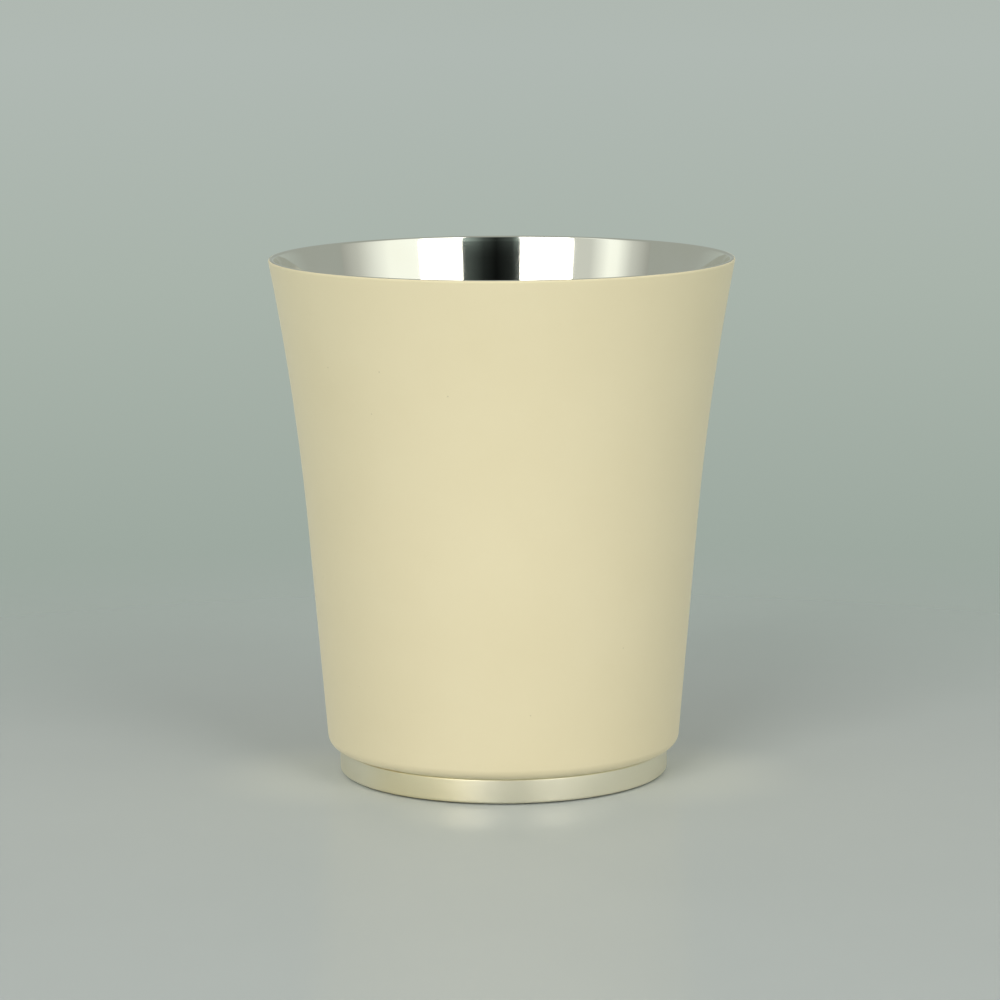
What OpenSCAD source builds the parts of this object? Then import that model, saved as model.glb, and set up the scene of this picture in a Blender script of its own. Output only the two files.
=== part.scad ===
// Double-walled drinking beaker: a mirror-bright inner cup whose lip is turned over the top edge
// of a flared, cream-lacquered outer shell, closed below by a base disc and a turned foot ring.
// The origin is on the table, on the axis of the beaker, and +Z is up.

/* [Body] */
// Overall height, from the table to the top of the lip
height = 89.7; // [60:0.1:140]
// Outside diameter at the lip
rim_d = 80; // [66:0.5:120]
// Outside diameter of the straight side, taken at the top of the foot
body_d = 61; // [45:0.1:72]
// How far the lip swings out past the line of the straight side
flare = 2.5; // [0.5:0.1:6]
// Height at which the straight side turns into the flare
flare_h = 42.7; // [20:0.1:55]
// Outside rounding at the bottom of the shell
shoulder_r = 2.1; // [1:0.1:5]

/* [Walls] */
// Sheet thickness of the outer shell with its lacquer
shell_wall = 0.4; // [0.3:0.05:0.8]
// Sheet thickness of the inner cup and of its turned lip
cup_wall = 0.5; // [0.3:0.05:0.9]
// Air gap between the shell and the cup, taken at the top of the foot
air_gap = 3; // [1:0.1:6]
// Air gap between the shell's turned-in flange and the floor of the cup
floor_gap = 3; // [1:0.1:8]
// Inside rounding between the wall and the floor of the cup
cup_corner_r = 6; // [2:0.5:12]

/* [Foot] */
// Height of the foot, from the table to the underside of the shell
foot_h = 4.6; // [2.5:0.1:8]
// Radial width of the foot ring
foot_wall = 2.4; // [1.6:0.1:4]
// Rounding of the foot ring's lower outer edge
foot_edge_r = 0.4; // [0.3:0.1:1.5]
// Width of the ledge in the foot ring that carries the base disc
seat_w = 1; // [0.5:0.1:1.3]
// Thickness of the base disc
base_t = 0.8; // [0.5:0.1:1.5]
// Width of the flange turned in at the bottom of the shell
flange_w = 4; // [3:0.1:8]
// Thickness of the solder between the foot and the shell
solder_t = 0.2; // [0.1:0.05:0.4]

/* [Fits] */
// Clearance round the base disc in its seat, and between the cup and the shell at the lip
fit_gap = 0.05; // [0.02:0.01:0.15]

/* [Hidden] */
$fn = 256;

// How deep a rounding is let into the line that it meets, so that the two cross at one clean point
blend = 0.003;

// The shell ends and the turned lip begins here
lip_z = height - cup_wall;
lip_edge_r = cup_wall / 2;

rim_r = rim_d / 2;
body_r = body_d / 2;

// The cup stands inside the shell, close to it at the lip and an air gap away at the foot
cup_rim_r = rim_r - shell_wall - fit_gap;
cup_body_r = body_r - shell_wall - air_gap;
cup_floor_z = foot_h + shell_wall + floor_gap;

// The foot ring stands under the flat of the shell, which ends where the shoulder rounds up
foot_r = corner_centre(body_r, rim_r, foot_h, shoulder_r)[0];
foot_bore_r = foot_r - foot_wall;
foot_top_z = foot_h - solder_t;
seat_r = foot_bore_r + seat_w;
seat_z = foot_top_z - base_t;
shell_hole_r = foot_r - flange_w;

// Radius gained per millimetre of height along a straight side
function taper(side_r, lip_r) = (lip_r - flare - side_r) / (lip_z - foot_h);

// Radius of a straight side at height z
function side_at(side_r, lip_r, z) = side_r + taper(side_r, lip_r) * (z - foot_h);

// Unit vector square to a straight side, pointing outward
function outward(side_r, lip_r) =
    let (lean = atan(taper(side_r, lip_r)))
    [cos(lean), -sin(lean)];

// Centre and radius of the arc that leaves a straight side at flare_h and swings out to the lip
function flare_arc(side_r, lip_r) =
    let (
        out = outward(side_r, lip_r),
        start = [side_at(side_r, lip_r, flare_h), flare_h] - blend * out,
        reach = [lip_r, lip_z] - start,
        r = (reach * reach) / (2 * reach * out)
    )
    [start + r * out, r];

// Centre of the rounding between a straight side and the floor below it
function corner_centre(side_r, lip_r, floor_z, corner_r) =
    let (z = floor_z + corner_r)
    [side_at(side_r, lip_r, z) - corner_r / outward(side_r, lip_r)[0], z];

// What a rounding of radius r about a centre takes off a lower outer corner, up to height top_z
module corner_waste(centre, r, top_z) {
    difference() {
        translate([centre[0], centre[1] - 2 * r])
            square([2 * r, top_z - centre[1] + 2 * r]);
        translate(centre)
            circle(r + blend);
    }
}

// Half section of a flared vessel: a rounded floor, a straight side, and an arc that leaves the
// side at flare_h, swings out to lip_r at the height of the lip and goes on up to top_z
module vessel_section(side_r, lip_r, floor_z, corner_r, top_z) {
    arc = flare_arc(side_r, lip_r);
    overlap_z = (flare_h + lip_z) / 2;
    corner = corner_centre(side_r, lip_r, floor_z, corner_r);
    difference() {
        union() {
            polygon([
                [0, floor_z],
                [side_at(side_r, lip_r, floor_z), floor_z],
                [side_at(side_r, lip_r, overlap_z), overlap_z],
                [0, overlap_z]
            ]);
            difference() {
                translate([0, flare_h])
                    square([2 * lip_r, top_z - flare_h]);
                translate(arc[0])
                    circle(arc[1]);
            }
        }
        corner_waste(corner, corner_r, corner[1] + corner_r * outward(side_r, lip_r)[1]);
    }
}

// What the rounding of the lip's inner edge takes off, where the mouth of the cup meets the lip's top
module lip_waste() {
    arc = flare_arc(cup_body_r - cup_wall, cup_rim_r - cup_wall);
    rise = lip_z + lip_edge_r - arc[0][1];
    span = arc[1] - lip_edge_r;
    centre = [arc[0][0] - sqrt(span * span - rise * rise), lip_z + lip_edge_r];
    difference() {
        translate([centre[0] - 2 * lip_edge_r, centre[1] + lip_edge_r * rise / span])
            square(2 * lip_edge_r);
        translate(centre)
            circle(lip_edge_r + blend);
    }
}

// The lip is the cup's own sheet, turned out over the top edge of the shell
module inner_cup() {
    color("silver")
        rotate_extrude()
            difference() {
                union() {
                    vessel_section(cup_body_r, cup_rim_r, cup_floor_z, cup_corner_r + cup_wall, lip_z);
                    translate([0, lip_z])
                        square([rim_r - lip_edge_r, cup_wall]);
                    translate([rim_r - lip_edge_r, lip_z + lip_edge_r])
                        circle(lip_edge_r);
                }
                vessel_section(cup_body_r - cup_wall, cup_rim_r - cup_wall,
                               cup_floor_z + cup_wall, cup_corner_r, height + cup_wall);
                lip_waste();
            }
}

module outer_shell() {
    color("blanchedalmond")
        rotate_extrude()
            difference() {
                vessel_section(body_r, rim_r, foot_h, shoulder_r, lip_z);
                vessel_section(body_r - shell_wall, rim_r - shell_wall,
                               foot_h + shell_wall, shoulder_r - shell_wall, height);
                square([shell_hole_r, foot_h + 2 * shell_wall]);
            }
}

module foot_solder() {
    color("dimgray")
        translate([0, 0, foot_top_z])
            difference() {
                cylinder(r = foot_r, h = solder_t);
                translate([0, 0, -solder_t])
                    cylinder(r = shell_hole_r, h = 3 * solder_t);
            }
}

module foot_ring() {
    color("lightgray")
        rotate_extrude()
            difference() {
                translate([foot_bore_r, 0])
                    square([foot_wall, foot_top_z]);
                translate([foot_bore_r - seat_w, seat_z])
                    square([2 * seat_w, 2 * base_t]);
                corner_waste([foot_r - foot_edge_r, foot_edge_r], foot_edge_r, foot_edge_r);
            }
}

module base_disc() {
    color("gainsboro")
        translate([0, 0, seat_z])
            cylinder(r = seat_r - fit_gap, h = base_t);
}

inner_cup();
outer_shell();
foot_solder();
foot_ring();
base_disc();
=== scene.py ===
# %% [markdown]
# # A metal beaker
# This is a squat drinking beaker with two walls. A mirror-bright silver cup hangs by its lip in a flared
# shell, the shell is sprayed with matt cream lacquer, and the pair stands on a low satin foot ring. The
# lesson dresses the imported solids: each one is worked out again as a smooth turned surface, gets the finish
# of the real piece, and takes the place of its plain solid in the picture.

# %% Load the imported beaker
import math

import bmesh
import bpy
import numpy as np
from mathutils import Matrix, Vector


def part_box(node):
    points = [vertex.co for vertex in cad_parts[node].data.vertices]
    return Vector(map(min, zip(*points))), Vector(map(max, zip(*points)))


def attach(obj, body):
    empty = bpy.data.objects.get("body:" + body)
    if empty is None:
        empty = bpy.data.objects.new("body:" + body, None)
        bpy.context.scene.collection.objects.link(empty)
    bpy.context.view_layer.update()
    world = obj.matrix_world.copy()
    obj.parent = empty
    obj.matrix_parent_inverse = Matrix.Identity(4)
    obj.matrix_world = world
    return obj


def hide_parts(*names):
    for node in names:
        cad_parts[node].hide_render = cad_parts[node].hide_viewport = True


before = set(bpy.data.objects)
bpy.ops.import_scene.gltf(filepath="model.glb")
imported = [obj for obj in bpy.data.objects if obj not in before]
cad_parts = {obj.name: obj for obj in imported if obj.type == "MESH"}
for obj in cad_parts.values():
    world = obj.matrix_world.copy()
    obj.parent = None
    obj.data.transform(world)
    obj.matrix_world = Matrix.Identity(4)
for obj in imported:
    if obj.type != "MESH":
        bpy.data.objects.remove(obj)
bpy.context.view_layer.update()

print("solids in the frame:", sorted(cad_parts))

# %% [markdown]
# ## Sizes
# The frame is in metres, but a sheet-metal wall is easier to think about in millimetres. Heights and
# outside radii are read from the solids, so that every dressed piece lands where its solid is. The few
# sizes that a box can't show, such as the thickness of a sheet, are written here once as real sizes.

# %% Read the sizes of the solids
MM = 0.001


def box_mm(node_name):
    """Lowest and highest corner of one solid, in millimetres."""
    return [np.array(corner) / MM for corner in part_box(node_name)]


cup_low, cup_high = box_mm("inner_cup")
shell_low, shell_high = box_mm("outer_shell")
foot_high = box_mm("foot_ring")[1]
disc_low, disc_high = box_mm("base_disc")

top_z = cup_high[2]
rim_r = cup_high[0]
joint_z = shell_high[2]
foot_h = shell_low[2]
foot_r = foot_high[0]
foot_top_z = foot_high[2]
cup_under_z = cup_low[2]
print(f"beaker {top_z:.1f} mm tall, lip {2 * rim_r:.1f} mm across, foot {2 * foot_r:.1f} mm across")

# %% Sizes that the boxes don't show
shell_foot_r = 30.5
shell_wall = 0.4
shoulder_r = 2.1
flange_w = 4.0
cup_foot_r = 27.1
cup_wall = 0.5
cup_corner_r = 6.0
flare = 2.5
flare_from_z = 42.7
fit_gap = 0.05

cup_lip_r = rim_r - shell_wall - fit_gap
cup_inside_foot_r = cup_foot_r - cup_wall
cup_inside_lip_r = cup_lip_r - cup_wall
print(f"sheet of the shell {shell_wall} mm, sheet of the cup {cup_wall} mm")

# %% [markdown]
# ## Profiles
# Every piece of a spun beaker is a body of revolution, so its whole shape is in its half section. A section
# is drawn here the way a turner would draw it: straight stretches and arcs set end to end. The flared wall
# could be a free curve, but on the real beaker it is a plain taper that turns into one long arc, so a
# formula gives it.

# %% Stretches of a profile
def straight(start, end, steps=2):
    """Points on a line: start + t (end - start), with t running evenly from 0 to 1."""
    return np.linspace(start, end, steps)


def arc(centre, radius, start, end, steps):
    """Points on a circle: centre + radius (cos a, sin a), with a going evenly from start to end degrees."""
    a = np.radians(np.linspace(start, end, steps))
    return np.column_stack([centre[0] + radius * np.cos(a), centre[1] + radius * np.sin(a)])


def join(*stretches):
    """Sets stretches end to end, and leaves out each point that repeats the one before it."""
    points = np.concatenate(stretches)
    step = np.linalg.norm(np.diff(points, axis=0), axis=1)
    same_point = 1e-4
    return points[np.concatenate([[True], step > same_point])]


# %% The flared wall
def wall_radius(z, at_foot, at_lip):
    """Radius of a flared wall at height z.

    Below flare_from_z it is a straight taper. Above, it is an arc that leaves the taper without a kink and
    passes through at_lip at the height of the joint: the arc's centre lies square to the taper, at the one
    distance that makes both true.
    """
    z = np.asarray(z, float)
    taper = (at_lip - flare - at_foot) / (joint_z - foot_h)
    lean = math.atan(taper)
    square = np.array([math.cos(lean), -math.sin(lean)])
    start = np.array([at_foot + taper * (flare_from_z - foot_h), flare_from_z])
    reach = np.array([at_lip, joint_z]) - start
    radius = reach @ reach / (2 * reach @ square)
    centre = start + radius * square
    bent = centre[0] - np.sqrt(radius**2 - (z - centre[1]) ** 2)
    return np.where(z < flare_from_z, at_foot + taper * (z - foot_h), bent)


def wall_lean(z, at_foot, at_lip):
    """Lean of a flared wall from the upright, in degrees, from its way out over a hundredth of a mm."""
    step = 0.005
    way_out = wall_radius(z + step, at_foot, at_lip) - wall_radius(z - step, at_foot, at_lip)
    return math.degrees(math.atan2(float(way_out), 2 * step))


def wall(low, high, at_foot, at_lip, steps):
    """Points up a flared wall, from height low to height high."""
    z = np.linspace(low, high, steps)
    return np.column_stack([wall_radius(z, at_foot, at_lip), z])


def against_wall(z, radius, lean, at_foot, at_lip, side):
    """Centre of a rounding at height z that touches a flared wall, and the height where it touches.

    side is 1 where the rounding lies within the wall, and -1 where it lies outside. The touch is one radius
    from the centre, square to the wall: outward and down for 1, inward and up for -1.
    """
    touch_z = z - side * radius * math.sin(math.radians(lean))
    touch_r = float(wall_radius(touch_z, at_foot, at_lip))
    return (touch_r - side * radius * math.cos(math.radians(lean)), z), touch_z


shoulder_lean = wall_lean(foot_h + shoulder_r, shell_foot_r, rim_r)
shell_lip_lean = wall_lean(joint_z, shell_foot_r, rim_r)
print(f"the shell leans {shoulder_lean:.1f} degrees at its shoulder and {shell_lip_lean:.1f} at its lip")

# %% [markdown]
# ## From a profile to a mesh
# A turned surface is a grid: one parameter runs along the profile and the other goes round the axis. Both
# are whole numpy arrays, so no vertex is placed by hand. The same grid also makes the floor and the studio
# panels. Where a profile ends on the axis, a whole row of points falls on one spot, and merging them closes
# the pole.

# %% Grid surfaces
STEPS_ROUND = 320

# Points closer than this, in metres, are one point
SAME_SPOT = 1e-8
angles = np.linspace(0, 2 * np.pi, STEPS_ROUND, endpoint=False)


def grid(x, y, z):
    """Points (rows, columns, 3) from three coordinates, each for the whole grid, one row or one column."""
    return np.stack(np.broadcast_arrays(x, y, z), axis=-1)


def swept(r, z):
    """Radius r and height z carried round the axis: at angle a the point is (r cos a, r sin a, z)."""
    return grid(r * np.cos(angles), r * np.sin(angles), z)


def turned(profile):
    """A turned form: each point (r, z) of the profile goes round at the same radius and height."""
    return swept(profile[:, :1], profile[:, 1:])


def skin(name, points_mm, close_section=False, close_round=True):
    """A mesh object over a grid of points (rows, columns, 3).

    Each face joins the points (i, j), (i, j + 1), (i + 1, j + 1) and (i + 1, j). close_round joins the last
    column to the first, and close_section the last row to the first. The UV map runs from 0 to 1 both ways.
    """
    rows, columns = points_mm.shape[:2]
    face_rows = rows if close_section else rows - 1
    face_columns = columns if close_round else columns - 1
    i, j = np.meshgrid(np.arange(face_rows), np.arange(face_columns), indexing="ij")
    corner_i = np.stack([i, i, i + 1, i + 1], axis=-1).reshape(-1, 4)
    corner_j = np.stack([j, j + 1, j + 1, j], axis=-1).reshape(-1, 4)
    corners = (corner_i % rows) * columns + corner_j % columns
    mesh = bpy.data.meshes.new(name)
    mesh.from_pydata((points_mm.reshape(-1, 3) * MM).tolist(), [], corners.tolist())
    uv = np.stack([corner_j / face_columns, corner_i / face_rows], axis=-1)
    mesh.uv_layers.new(name="UVMap").data.foreach_set("uv", uv.ravel())
    work = bmesh.new()
    work.from_mesh(mesh)
    bmesh.ops.remove_doubles(work, verts=work.verts, dist=SAME_SPOT)
    if close_section or close_round:
        bmesh.ops.recalc_face_normals(work, faces=work.faces)
    work.to_mesh(mesh)
    work.free()
    mesh.shade_smooth()
    made = bpy.data.objects.new(name, mesh)
    bpy.context.scene.collection.objects.link(made)
    return made


def dress(name, points_mm, node_name, finish, close_section=False):
    """Makes one piece of the beaker, gives it its finish and lets it stand for its solid."""
    made = skin(name, points_mm, close_section)
    made.data.materials.append(finish)
    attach(made, "root")
    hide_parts(node_name)
    print(f"{name}: {len(made.data.vertices)} points, {len(made.data.polygons)} faces")


# %% [markdown]
# ## Finishes
# Colours are written as sRGB hex values, as a paint chart gives them, and one function turns them into the
# linear values that the shaders take. Patterns are sized in millimetres: a texture's scale is the number of
# features in a metre. One small function adds a node with its settings and links, so each finish reads as a
# short list. Two patterns come back in several finishes: fine marks that run round the axis, and a soft
# spot about a place.

# %% Colour, scale and node helpers
def linear(hex_colour):
    """Linear red, green, blue and alpha of an sRGB hex colour, by the sRGB curve."""
    srgb = np.array([int(hex_colour[k : k + 2], 16) for k in (1, 3, 5)]) / 255
    value = np.where(srgb <= 0.04045, srgb / 12.92, ((srgb + 0.055) / 1.055) ** 2.4)
    return (*value.tolist(), 1.0)


def per_metre(size_mm):
    """Texture scale at which one feature is size_mm wide on Object coordinates."""
    return 1 / (size_mm * MM)


def add(tree, kind, inputs=None, **settings):
    """Adds one node. settings are its own choices, and inputs holds a value or a link for each socket."""
    made = tree.nodes.new(kind)
    for key, value in settings.items():
        setattr(made, key, value)
    for socket, value in (inputs or {}).items():
        if isinstance(value, bpy.types.NodeSocket):
            tree.links.new(value, made.inputs[socket])
        else:
            made.inputs[socket].default_value = value
    return made


def empty_finish(name):
    """A new material with no nodes in it, and its node tree."""
    material = bpy.data.materials.new(name)
    material.use_nodes = True
    material.node_tree.nodes.clear()
    return material, material.node_tree


# %% Patterns that several finishes share
def marks_round(tree, place, length, gap, detail):
    """Marks that run round the axis: noise with features length mm long and gap mm apart in height."""
    stretch = (per_metre(length), per_metre(length), per_metre(gap))
    along = add(tree, "ShaderNodeMapping", {"Vector": place, "Scale": stretch})
    noise = add(tree, "ShaderNodeTexNoise", {"Vector": along.outputs[0], "Scale": 1.0, "Detail": detail})
    return noise.outputs[0]


def soft_spot(tree, place, centre, core, reach, most=1.0):
    """A share that is most within core mm of a centre and eases to nothing at reach mm."""
    middle = [value * MM for value in centre]
    distance = add(tree, "ShaderNodeVectorMath", {0: place, 1: middle}, operation="DISTANCE")
    share = add(
        tree,
        "ShaderNodeMapRange",
        {
            "Value": distance.outputs["Value"],
            "From Min": core * MM,
            "From Max": reach * MM,
            "To Min": most,
            "To Max": 0.0,
        },
        interpolation_type="SMOOTHSTEP",
    )
    return share.outputs[0]


# %% [markdown]
# ## The rim
# At the lip the two walls meet. The cup's sheet is turned out over the top edge of the shell, the joint is
# rubbed smooth, and the whole edge is rounded off like the rim of a glass. The lacquer is sprayed after
# that, so it climbs over the joint and stops on the outer rounding: from the side no bare metal shows, and
# from above there is only a hair line of silver.

# %% Rounding of the rim
rim_round = 0.40
lacquer_film = 0.04

# Angles on the outer rounding, in degrees up from the level: where its metal starts and the lacquer ends
lip_starts_at = -8
lacquer_stops_at = 48

round_z = top_z - rim_round
film_r = rim_round + lacquer_film
cup_lip_lean = wall_lean(joint_z, cup_inside_foot_r, cup_inside_lip_r)
outer_round, film_foot_z = against_wall(round_z, film_r, shell_lip_lean, shell_foot_r, rim_r, side=1)
inner_round, mouth_z = against_wall(
    round_z, rim_round, cup_lip_lean, cup_inside_foot_r, cup_inside_lip_r, side=-1
)
print(f"flat left on top of the rim: {outer_round[0] - inner_round[0]:.2f} mm")

# %% [markdown]
# ## Inner cup
# The cup is spun from sheet, silver plated and buffed to a mirror. What shows is what it mirrors, so its
# shape has to be exact and smooth: a coarse mesh would break the reflections into facets. Spinning leaves
# very fine rings and buffing leaves a faint waviness, and both are far too shallow to model, so the finish
# bends the mirror a little instead. Light crosses such a cup many times before it leaves by the mouth. A
# ray that is given up too soon is drawn black, so here light is followed through more bounces than usual.

# %% Polished silver plate
def polished_silver_plate():
    """Silver: the most reflective metal, near white and faintly yellow, so the eye sees the room in it."""
    material, tree = empty_finish("polished_silver_plate")
    place = add(tree, "ShaderNodeTexCoord").outputs["Object"]

    # Spinning marks: rings 0.4 mm apart, each some 15 mm long before it fades
    ring_gap = 0.4
    ring_length = 15
    ring_depth = 0.0002
    rings = marks_round(tree, place, ring_length, ring_gap, detail=2.0)

    # Waviness left by the buffing wheel, about 7 mm from crest to crest
    wave_gap = 7
    wave_depth = 0.002
    waves = add(tree, "ShaderNodeTexNoise", {"Vector": place, "Scale": per_metre(wave_gap), "Detail": 1.0})

    wavy = add(
        tree,
        "ShaderNodeBump",
        {"Height": waves.outputs[0], "Strength": 1.0, "Distance": wave_depth * MM},
    )
    relief = add(
        tree,
        "ShaderNodeBump",
        {"Height": rings, "Strength": 1.0, "Distance": ring_depth * MM, "Normal": wavy.outputs[0]},
    )
    gloss = add(tree, "ShaderNodeMapRange", {"Value": rings, "To Min": 0.035, "To Max": 0.065})
    tone = add(
        tree,
        "ShaderNodeMix",
        {"Factor": waves.outputs[0], "A": linear("#FCFBF6"), "B": linear("#F8F6EE")},
        data_type="RGBA",
    )
    shader = add(
        tree,
        "ShaderNodeBsdfPrincipled",
        {
            "Base Color": tone.outputs["Result"],
            "Metallic": 1.0,
            "Roughness": gloss.outputs[0],
            "Normal": relief.outputs[0],
        },
    )
    add(tree, "ShaderNodeOutputMaterial", {"Surface": shader.outputs[0]})
    return material


# %% Shape of the inner cup
corner_z = cup_under_z + cup_wall + cup_corner_r
side_lean = wall_lean(corner_z, cup_inside_foot_r, cup_inside_lip_r)
corner, corner_top = against_wall(
    corner_z, cup_corner_r, side_lean, cup_inside_foot_r, cup_inside_lip_r, side=1
)
cup_profile = join(
    straight((0, cup_under_z), (corner[0], cup_under_z), 4),
    arc(corner, cup_corner_r + cup_wall, -90, -side_lean, 12),
    wall(corner_top, joint_z, cup_foot_r, cup_lip_r, 30),
    straight((cup_lip_r, joint_z), (outer_round[0], joint_z)),
    arc(outer_round, rim_round, lip_starts_at, 90, 14),
    arc(inner_round, rim_round, 90, 180 - cup_lip_lean, 14),
    wall(mouth_z, corner_top, cup_inside_foot_r, cup_inside_lip_r, 110),
    arc(corner, cup_corner_r, -side_lean, -90, 24),
    straight((corner[0], cup_under_z + cup_wall), (0, cup_under_z + cup_wall), 12),
)
dress("silver_cup", turned(cup_profile), "inner_cup", polished_silver_plate())

# %% Light inside the cup
mirror_bounces = 16
other_bounces = 4
light_paths = bpy.context.scene.cycles
light_paths.glossy_bounces = mirror_bounces
light_paths.max_bounces = mirror_bounces + other_bounces
print("light is followed through", mirror_bounces, "mirror bounces")

# %% [markdown]
# ## Outer shell
# The shell is a second spun cup with a flat flange turned in below. Its cream coat is a matt lacquer,
# sprayed in thin passes: it shows no highlight at all, only an even tone that greys a little towards the
# edges. Seen close, sprayed lacquer has a very fine peel, faint clouds where the passes overlap, and a few
# specks of dust that settled while it dried.

# %% Sprayed matt lacquer
def sprayed_cream_lacquer():
    """Matt lacquer: a rough coat that isn't metal, so the eye sees its own colour and no mirror image."""
    material, tree = empty_finish("sprayed_cream_lacquer")
    place = add(tree, "ShaderNodeTexCoord").outputs["Object"]

    # Clouds where the spray passes overlap, about 18 mm across
    cloud_size = 18
    clouds = add(
        tree, "ShaderNodeTexNoise", {"Vector": place, "Scale": per_metre(cloud_size), "Detail": 3.0}
    )
    tone = add(
        tree,
        "ShaderNodeMix",
        {"Factor": clouds.outputs[0], "A": linear("#E1D6B6"), "B": linear("#DCD0AE")},
        data_type="RGBA",
    )

    # Dust specks: small cells round points 7 mm apart, of which few lie in the surface
    speck_gap = 7
    speck_size = 0.16
    speck_core = 0.08
    speck_strength = 0.5
    dust = add(tree, "ShaderNodeTexVoronoi", {"Vector": place, "Scale": per_metre(speck_gap)})
    speck = add(
        tree,
        "ShaderNodeMapRange",
        {
            "Value": dust.outputs["Distance"],
            "From Min": speck_size / speck_gap,
            "From Max": speck_core / speck_gap,
            "To Max": speck_strength,
        },
    )
    colour = add(
        tree,
        "ShaderNodeMix",
        {"Factor": speck.outputs[0], "A": tone.outputs["Result"], "B": linear("#A59A78")},
        data_type="RGBA",
    )

    # Orange peel, about 0.9 mm from crest to crest
    peel_gap = 0.9
    peel_depth = 0.02
    peel = add(tree, "ShaderNodeTexNoise", {"Vector": place, "Scale": per_metre(peel_gap), "Detail": 2.0})
    relief = add(
        tree,
        "ShaderNodeBump",
        {"Height": peel.outputs[0], "Strength": 0.6, "Distance": peel_depth * MM},
    )
    gloss = add(tree, "ShaderNodeMapRange", {"Value": peel.outputs[0], "To Min": 0.58, "To Max": 0.74})
    shader = add(
        tree,
        "ShaderNodeBsdfPrincipled",
        {
            "Base Color": colour.outputs["Result"],
            "Roughness": gloss.outputs[0],
            "Sheen Weight": 0.2,
            "Sheen Roughness": 0.5,
            "Normal": relief.outputs[0],
        },
    )
    add(tree, "ShaderNodeOutputMaterial", {"Surface": shader.outputs[0]})
    return material


# %% Shape of the outer shell
shoulder = (foot_r, foot_h + shoulder_r)
shoulder_top = shoulder[1] - shoulder_r * math.sin(math.radians(shoulder_lean))
hole_r = foot_r - flange_w
shell_in_foot_r = shell_foot_r - shell_wall
shell_in_lip_r = rim_r - shell_wall
shell_profile = join(
    straight((hole_r, foot_h), (foot_r, foot_h), 4),
    arc(shoulder, shoulder_r, -90, -shoulder_lean, 24),
    wall(shoulder_top, film_foot_z, shell_foot_r, rim_r, 110),
    arc(outer_round, film_r, -shell_lip_lean, lacquer_stops_at, 12),
    arc(outer_round, rim_round, lacquer_stops_at, lip_starts_at, 8),
    straight((shell_in_lip_r + fit_gap, joint_z), (shell_in_lip_r, joint_z)),
    wall(joint_z, shoulder_top, shell_in_foot_r, shell_in_lip_r, 30),
    arc(shoulder, shoulder_r - shell_wall, -shoulder_lean, -90, 10),
    straight((foot_r, foot_h + shell_wall), (hole_r, foot_h + shell_wall), 4),
)
dress(
    "lacquered_shell",
    turned(shell_profile),
    "outer_shell",
    sprayed_cream_lacquer(),
    close_section=True,
)

# %% [markdown]
# ## Foot ring and base disc
# The foot is a ring turned on a lathe, with a rounded lower edge, and the disc closes the underside. Both
# are silver plated and then brushed to a satin, so a reflection is soft, and softer one way than the other:
# here it is drawn out a little round the ring and stays crisper up and down, so the foot still mirrors the
# floor. A shader does that with its anisotropy, if it knows which way is round, and the UV map of a turned
# grid says so.

# %% Turned satin silver
def turned_satin_silver():
    """Satin silver: a soft metal sheen, drawn out round the ring, a little yellow where it was handled."""
    material, tree = empty_finish("turned_satin_silver")
    place = add(tree, "ShaderNodeTexCoord").outputs["Object"]

    # Tool marks 0.15 mm apart, drawn as runs 20 mm long
    mark_gap = 0.15
    mark_length = 20
    mark_depth = 0.0015
    marks = marks_round(tree, place, mark_length, mark_gap, detail=3.0)

    # Toning: the plate yellows in patches some 25 mm wide
    toning_size = 25
    toning = add(
        tree, "ShaderNodeTexNoise", {"Vector": place, "Scale": per_metre(toning_size), "Detail": 2.0}
    )
    tone = add(
        tree,
        "ShaderNodeMix",
        {"Factor": toning.outputs[0], "A": linear("#FAF5E5"), "B": linear("#F6EFD7")},
        data_type="RGBA",
    )

    # A yellower patch at the left front, where fingers take hold of the foot
    held_at = (-14.5, -24.5, 2.0)
    held = soft_spot(tree, place, held_at, core=4, reach=15, most=0.9)
    colour = add(
        tree,
        "ShaderNodeMix",
        {"Factor": held, "A": tone.outputs["Result"], "B": linear("#F8EDCA")},
        data_type="RGBA",
    )
    relief = add(tree, "ShaderNodeBump", {"Height": marks, "Strength": 1.0, "Distance": mark_depth * MM})
    gloss = add(tree, "ShaderNodeMapRange", {"Value": marks, "To Min": 0.32, "To Max": 0.42})
    runs = add(tree, "ShaderNodeTangent", direction_type="UV_MAP", uv_map="UVMap")
    shader = add(
        tree,
        "ShaderNodeBsdfPrincipled",
        {
            "Base Color": colour.outputs["Result"],
            "Metallic": 1.0,
            "Roughness": gloss.outputs[0],
            "Anisotropic": 0.3,
            "Normal": relief.outputs[0],
            "Tangent": runs.outputs[0],
        },
    )
    add(tree, "ShaderNodeOutputMaterial", {"Surface": shader.outputs[0]})
    return material


satin_silver = turned_satin_silver()

# %% Shape of the foot ring
foot_wall = 2.4
foot_edge_r = 0.5
foot_top_edge_r = 0.2

# The ring stands on its inner part, and its underside rises a little towards the outer edge
stand_w = 0.7
lift = 0.25
bore_edge_r = 0.25
seat_w = 1.0
seat_z = disc_low[2]
bore_r = foot_r - foot_wall
seat_r = bore_r + seat_w
foot_profile = join(
    arc((bore_r + bore_edge_r, bore_edge_r), bore_edge_r, 180, 270, 6),
    straight((bore_r + stand_w, 0), (foot_r - foot_edge_r, lift), 4),
    arc((foot_r - foot_edge_r, foot_edge_r + lift), foot_edge_r, -90, 0, 16),
    arc((foot_r - foot_top_edge_r, foot_top_z - foot_top_edge_r), foot_top_edge_r, 0, 90, 8),
    straight((foot_r - foot_top_edge_r, foot_top_z), (seat_r, foot_top_z), 4),
    straight((seat_r, foot_top_z), (seat_r, seat_z), 4),
    straight((seat_r, seat_z), (bore_r, seat_z), 4),
)
dress("foot_collar", turned(foot_profile), "foot_ring", satin_silver, close_section=True)

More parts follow.
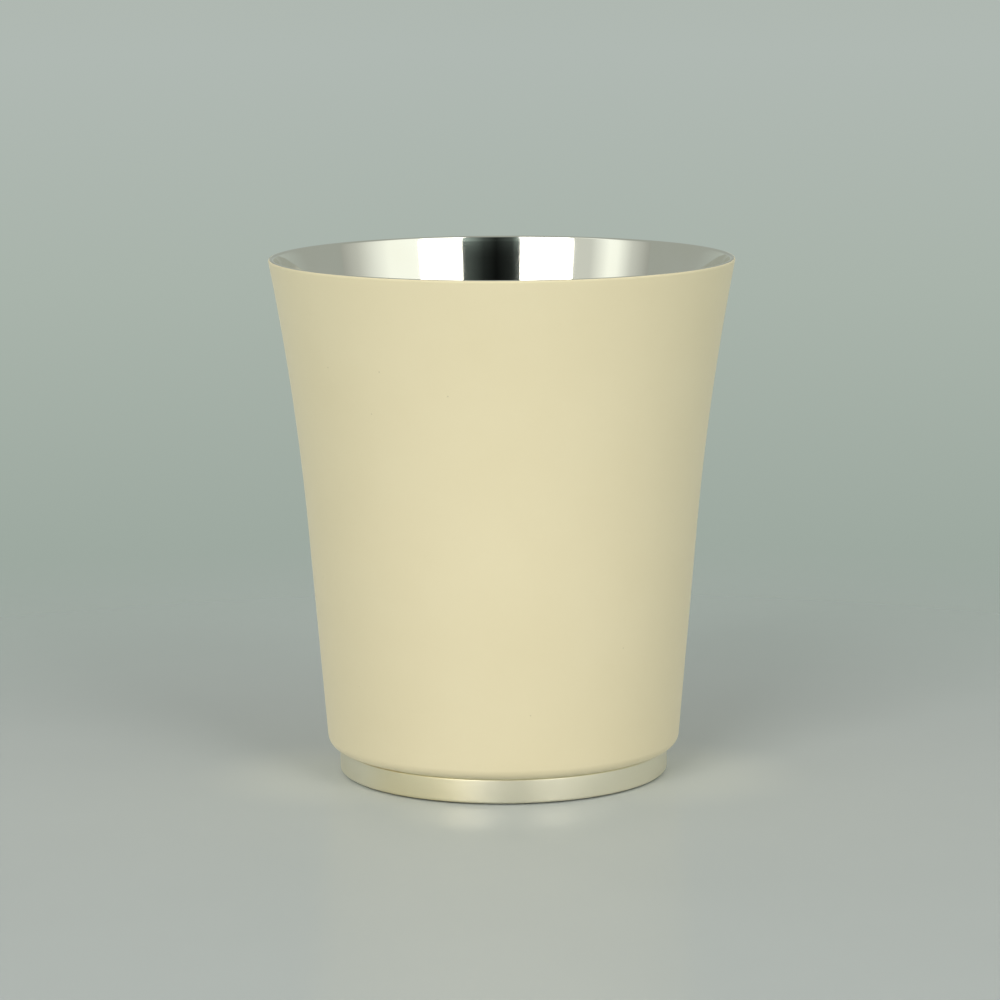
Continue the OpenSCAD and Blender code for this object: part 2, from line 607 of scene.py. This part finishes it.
# %% Shape of the base disc
disc_r = disc_high[0]
disc_top_z = disc_high[2]
disc_edge_r = 0.15
centre_mark_r = 0.8
centre_mark_depth = 0.3
mark_z = seat_z + centre_mark_depth
disc_profile = join(
    straight((0, mark_z), (centre_mark_r, seat_z), 6),
    straight((centre_mark_r, seat_z), (disc_r - disc_edge_r, seat_z), 30),
    arc((disc_r - disc_edge_r, seat_z + disc_edge_r), disc_edge_r, -90, 0, 6),
    arc((disc_r - disc_edge_r, disc_top_z - disc_edge_r), disc_edge_r, 0, 90, 6),
    straight((disc_r - disc_edge_r, disc_top_z), (0, disc_top_z), 6),
)
dress("base_plate", turned(disc_profile), "base_disc", satin_silver)

# %% [markdown]
# ## Solder seam
# The shell is soldered onto the foot. The solder is a thin ring between them, and its edge is never quite
# even: round most of the foot it wells out and fills the corner under the shoulder, and at the left front
# it stays back and leaves a dark slit. So the outer edge of this ring wanders with the angle, as a sum of a
# few sine waves with different numbers of waves round the ring.

# %% Dull soft solder
def dull_soft_solder():
    """Soft solder: a dull, pale skin yellowed by flux, grainy, so the eye sees little metal in it."""
    material, tree = empty_finish("dull_soft_solder")
    place = add(tree, "ShaderNodeTexCoord").outputs["Object"]

    # Grain about 1.2 mm wide
    grain_size = 1.2
    grain_depth = 0.05
    grain = add(
        tree, "ShaderNodeTexNoise", {"Vector": place, "Scale": per_metre(grain_size), "Detail": 4.0}
    )
    tone = add(
        tree,
        "ShaderNodeMix",
        {"Factor": grain.outputs[0], "A": linear("#CFC79E"), "B": linear("#E4DDB8")},
        data_type="RGBA",
    )
    relief = add(
        tree,
        "ShaderNodeBump",
        {"Height": grain.outputs[0], "Strength": 0.8, "Distance": grain_depth * MM},
    )
    shader = add(
        tree,
        "ShaderNodeBsdfPrincipled",
        {
            "Base Color": tone.outputs["Result"],
            "Metallic": 0.3,
            "Roughness": 0.55,
            "Normal": relief.outputs[0],
        },
    )
    add(tree, "ShaderNodeOutputMaterial", {"Surface": shader.outputs[0]})
    return material


# %% Edge of the solder seam
well_out = 0.5
hold_back = 0.85
hold_back_at = np.radians(-155)
hold_back_power = 3
wander = 0.05
waves_round = np.array([3, 7, 17, 31, 53, 89])
wave_starts = np.random.default_rng(4).uniform(0, 2 * np.pi, len(waves_round))
uneven = np.sin(waves_round[:, None] * angles + wave_starts[:, None]).sum(axis=0)
starved = np.clip(np.cos(angles - hold_back_at), 0, None) ** hold_back_power
edge_r = foot_r + well_out - hold_back * starved + wander * uneven
print(f"the solder's edge lies {edge_r.min() - foot_r:.2f} to {edge_r.max() - foot_r:.2f} mm past the foot")

# %% Shape of the solder seam
foot_inset = 0.04
bead_swell = 0.04

# The section runs out along the foot, slants up to the uneven edge and goes back in under the shell, whose
# shoulder has risen along its circle where the edge reaches past the foot
on_foot_r = np.minimum(edge_r, foot_r - foot_inset)
past_foot = np.clip(edge_r - foot_r, 0, None)
edge_z = foot_h + shoulder_r - np.sqrt(shoulder_r**2 - past_foot**2)
bead_r = (on_foot_r + edge_r) / 2 + bead_swell
bead_z = (foot_top_z + edge_z) / 2
hidden_r = np.full_like(angles, hole_r)
under_z = np.full_like(angles, foot_top_z)
over_z = np.full_like(angles, foot_h)
seam_r = np.stack([hidden_r, on_foot_r, bead_r, edge_r, on_foot_r, hidden_r])
seam_z = np.stack([under_z, under_z, bead_z, edge_z, over_z, over_z])
dress("solder_seam", swept(seam_r, seam_z), "foot_solder", dull_soft_solder(), close_section=True)

# %% [markdown]
# ## Floor
# The beaker stands on a pale matt sheet with a thin glossy coating, which fades into an even backdrop. Only
# the part near the beaker has to be real, because it takes the shadow and mirrors the foot and the lights
# in the foot; further out the sheet thins away to nothing and the backdrop, which is the world's own
# colour, shows through it.

# %% Studio floor
floor_edge_r = 600.0
fade_centre = (0.0, -60.0, 0.0)
fade_from_r = 100.0
fade_to_r = 330.0


def studio_floor():
    """Coated backdrop sheet: matt pale grey under a thin coat, so the eye sees a faint mirror image."""
    material, tree = empty_finish("studio_floor")
    place = add(tree, "ShaderNodeTexCoord").outputs["Object"]
    shown = soft_spot(tree, place, fade_centre, fade_from_r, fade_to_r)

    # Faint cloudiness of the sheet, about 30 mm wide
    fibre_size = 30
    fibre = add(
        tree, "ShaderNodeTexNoise", {"Vector": place, "Scale": per_metre(fibre_size), "Detail": 2.0}
    )
    tone = add(
        tree,
        "ShaderNodeMix",
        {"Factor": fibre.outputs[0], "A": linear("#BBC1C3"), "B": linear("#B8BEC0")},
        data_type="RGBA",
    )

    # Painted light: the sheet is painted lighter in two spots, to the left and right of where things stand,
    # to lift the shade that falls on the floor beside the foot
    painted_light_at = (28.0, -6.0, 0.0)
    split = add(tree, "ShaderNodeSeparateXYZ", {0: place})
    aside = add(tree, "ShaderNodeMath", {0: split.outputs[0]}, operation="ABSOLUTE")
    folded = add(tree, "ShaderNodeCombineXYZ", {0: aside.outputs[0], 1: split.outputs[1]})
    painted_light_share = soft_spot(tree, folded.outputs[0], painted_light_at, core=8, reach=28)
    colour = add(
        tree,
        "ShaderNodeMix",
        {"Factor": painted_light_share, "A": tone.outputs["Result"], "B": linear("#C5CAC9")},
        data_type="RGBA",
    )

    coat_share = 0.09
    matt = add(tree, "ShaderNodeBsdfDiffuse", {"Color": colour.outputs["Result"]})
    gloss = add(tree, "ShaderNodeBsdfAnisotropic", {"Color": linear("#FFFFFF"), "Roughness": 0.2})
    coated = add(tree, "ShaderNodeMixShader", {0: coat_share, 1: matt.outputs[0], 2: gloss.outputs[0]})
    clear = add(tree, "ShaderNodeBsdfTransparent")
    sheet = add(tree, "ShaderNodeMixShader", {0: shown, 1: clear.outputs[0], 2: coated.outputs[0]})
    add(tree, "ShaderNodeOutputMaterial", {"Surface": sheet.outputs[0]})
    return material


floor = skin("floor", turned(straight((0, 0), (floor_edge_r, 0), 40)))
floor.data.materials.append(studio_floor())
print(f"the floor fades out between {fade_from_r:.0f} and {fade_to_r:.0f} mm from the middle of the fade")

# %% [markdown]
# ## Light
# A mirror shows its lights, so the lights are placed by what the inside of the cup mirrors: two tall soft
# boxes in front, with a dark gap between them where the camera stands, and paler boards out to the sides. A
# weak light behind keeps the far side and the floor beside the foot from going dark. Each is a piece of an
# upright drum round the beaker. They light the beaker at a plain level and stay out of the picture.

# %% Studio panels
drum_r = 1200.0
panel_columns = 49


def panel(name, levels, turns, radiances, gains=(1, 1), tint="#FFFDF6"):
    """A lit piece of a drum about the beaker's axis.

    The point at turn a and height z stands at (R sin a, -R cos a, z), with turns in degrees from the
    camera's side towards +X. levels are degrees above the horizon, from low to high. radiances is the
    light at each of the given turns, gains multiplies it at each level, and between them both change
    evenly.
    """
    columns = np.linspace(turns[0], turns[-1], panel_columns)
    across = np.radians(columns)
    heights = drum_r * np.tan(np.radians(levels))[:, None]
    made = skin(name, grid(drum_r * np.sin(across), -drum_r * np.cos(across), heights), close_round=False)
    made.visible_camera = False
    order = np.argsort(turns)
    light = np.outer(gains, np.interp(columns, np.array(turns)[order], np.array(radiances)[order]))
    material, tree = empty_finish(name + "_light")
    if light.min() == light.max():
        strength = float(light.max())
    else:
        made.data.attributes.new("light", "FLOAT", "POINT").data.foreach_set("value", light.ravel())
        strength = add(tree, "ShaderNodeAttribute", attribute_name="light").outputs["Fac"]
    glow = add(tree, "ShaderNodeEmission", {"Color": linear(tint), "Strength": strength})
    add(tree, "ShaderNodeOutputMaterial", {"Surface": glow.outputs[0]})
    made.data.materials.append(material)
    print(f"{name}: turns {turns}, radiance {radiances}")
    return made


# %% Soft boxes and the gap between them
box_levels = (6, 48)
left_edge = -39.8
gap_left = -10.3
gap_right = 21.7
right_edge = 46.0
panel("right_soft_box", box_levels, (gap_right, right_edge), (3.68, 3.68))
panel("left_soft_box", box_levels, (gap_left, left_edge), (4.82, 4.82))

# The gap is darkest low down and pales for a stretch above, which shows as a paler edge along the far rim
panel(
    "dark_gap",
    (1, 23.2, 23.7, 24.0, 24.5, 24.9, 48),
    (gap_left, -6, 3, 10, gap_right),
    (0.08, 0.017, 0.004, 0.017, 0.09),
    gains=(1, 1, 1.6, 2.6, 4, 5, 1),
    tint="#E8FFF4",
)

# %% Boards and the back light
board_levels = (1, 70)
board_tint = "#FBFFF3"
panel(
    "right_board",
    board_levels,
    (right_edge, 64, 72, 84, 95),
    (1.03, 1.0, 0.82, 0.52, 0.36),
    tint=board_tint,
)
panel(
    "left_board",
    board_levels,
    (left_edge, -50, -61, -66, -75, -87),
    (0.6, 0.6, 1.02, 1.0, 0.58, 0.34),
    tint=board_tint,
)

# The back light is kept out of mirrors, where its image would run as a white line along the far rim
back_light = panel("back_light", (25, 65), (125, 235), (0.7, 0.7))
back_light.visible_glossy = False

# %% [markdown]
# ## Backdrop
# The world is the backdrop: a grey-green that is lightest at the horizon and a little deeper below and
# above it. It lights the shadow side softly, and it is also what the metal mirrors where it sees no panel.

# %% World colour
ambient_fill = 1.25
backdrop_low = -10.0
backdrop_high = 10.0
stops = {-10.0: "#9DA9A0", -6.0: "#A9B4AB", -2.5: "#B0B9B3", 1.0: "#AEB6AD", 7.0: "#9DA29A"}

world = bpy.data.worlds.new("backdrop")
bpy.context.scene.world = world
world.use_nodes = True
sky = world.node_tree
sky.nodes.clear()
direction = add(sky, "ShaderNodeTexCoord").outputs["Generated"]
rise = add(sky, "ShaderNodeSeparateXYZ", {0: direction})
height_share = add(
    sky,
    "ShaderNodeMapRange",
    {
        "Value": rise.outputs[2],
        "From Min": math.sin(math.radians(backdrop_low)),
        "From Max": math.sin(math.radians(backdrop_high)),
    },
)
shade = add(sky, "ShaderNodeValToRGB", {0: height_share.outputs[0]})
while len(shade.color_ramp.elements) < len(stops):
    shade.color_ramp.elements.new(0.5)
for stop, (degrees, hex_colour) in zip(shade.color_ramp.elements, stops.items()):
    stop.position = (degrees - backdrop_low) / (backdrop_high - backdrop_low)
    stop.color = linear(hex_colour)

# The camera and the mirrors see the backdrop as it is, and matt surfaces get a little more light from it
path = add(sky, "ShaderNodeLightPath")
seen = add(
    sky,
    "ShaderNodeMath",
    {0: path.outputs["Is Camera Ray"], 1: path.outputs["Is Glossy Ray"]},
    operation="MAXIMUM",
)
fill = add(sky, "ShaderNodeMapRange", {"Value": seen.outputs[0], "To Min": ambient_fill, "To Max": 1.0})
glow = add(sky, "ShaderNodeBackground", {"Color": shade.outputs[0], "Strength": fill.outputs[0]})
add(sky, "ShaderNodeOutputWorld", {"Surface": glow.outputs[0]})
bpy.context.scene.view_settings.view_transform = "Standard"
print("backdrop shades:", stops)

# %% [markdown]
# ## Camera
# The camera stands a good arm's length away and a little above the lip, with a long lens, as for a
# catalogue picture. Its place comes from the outlines of the lip and the foot: two circles of known size
# fix where the lens was. The picture is taken to be square.

# %% Camera of the picture
camera_place = np.array([-0.45, -650.5, 152.8])
camera_pitch = -9.204
camera_roll = -0.23
focal_share = 3.8

lens = bpy.data.cameras.new("camera")
lens.sensor_width = 36.0
lens.lens = focal_share * lens.sensor_width
camera = bpy.data.objects.new("camera", lens)
bpy.context.scene.collection.objects.link(camera)
camera.location = camera_place * MM
tilt = Matrix.Rotation(math.radians(90 + camera_pitch), 3, "X")
roll = Matrix.Rotation(math.radians(camera_roll), 3, "Z")
camera.rotation_euler = (tilt @ roll).to_euler()
bpy.context.scene.camera = camera
print("camera at", camera_place, "mm, lens", lens.lens, "mm")
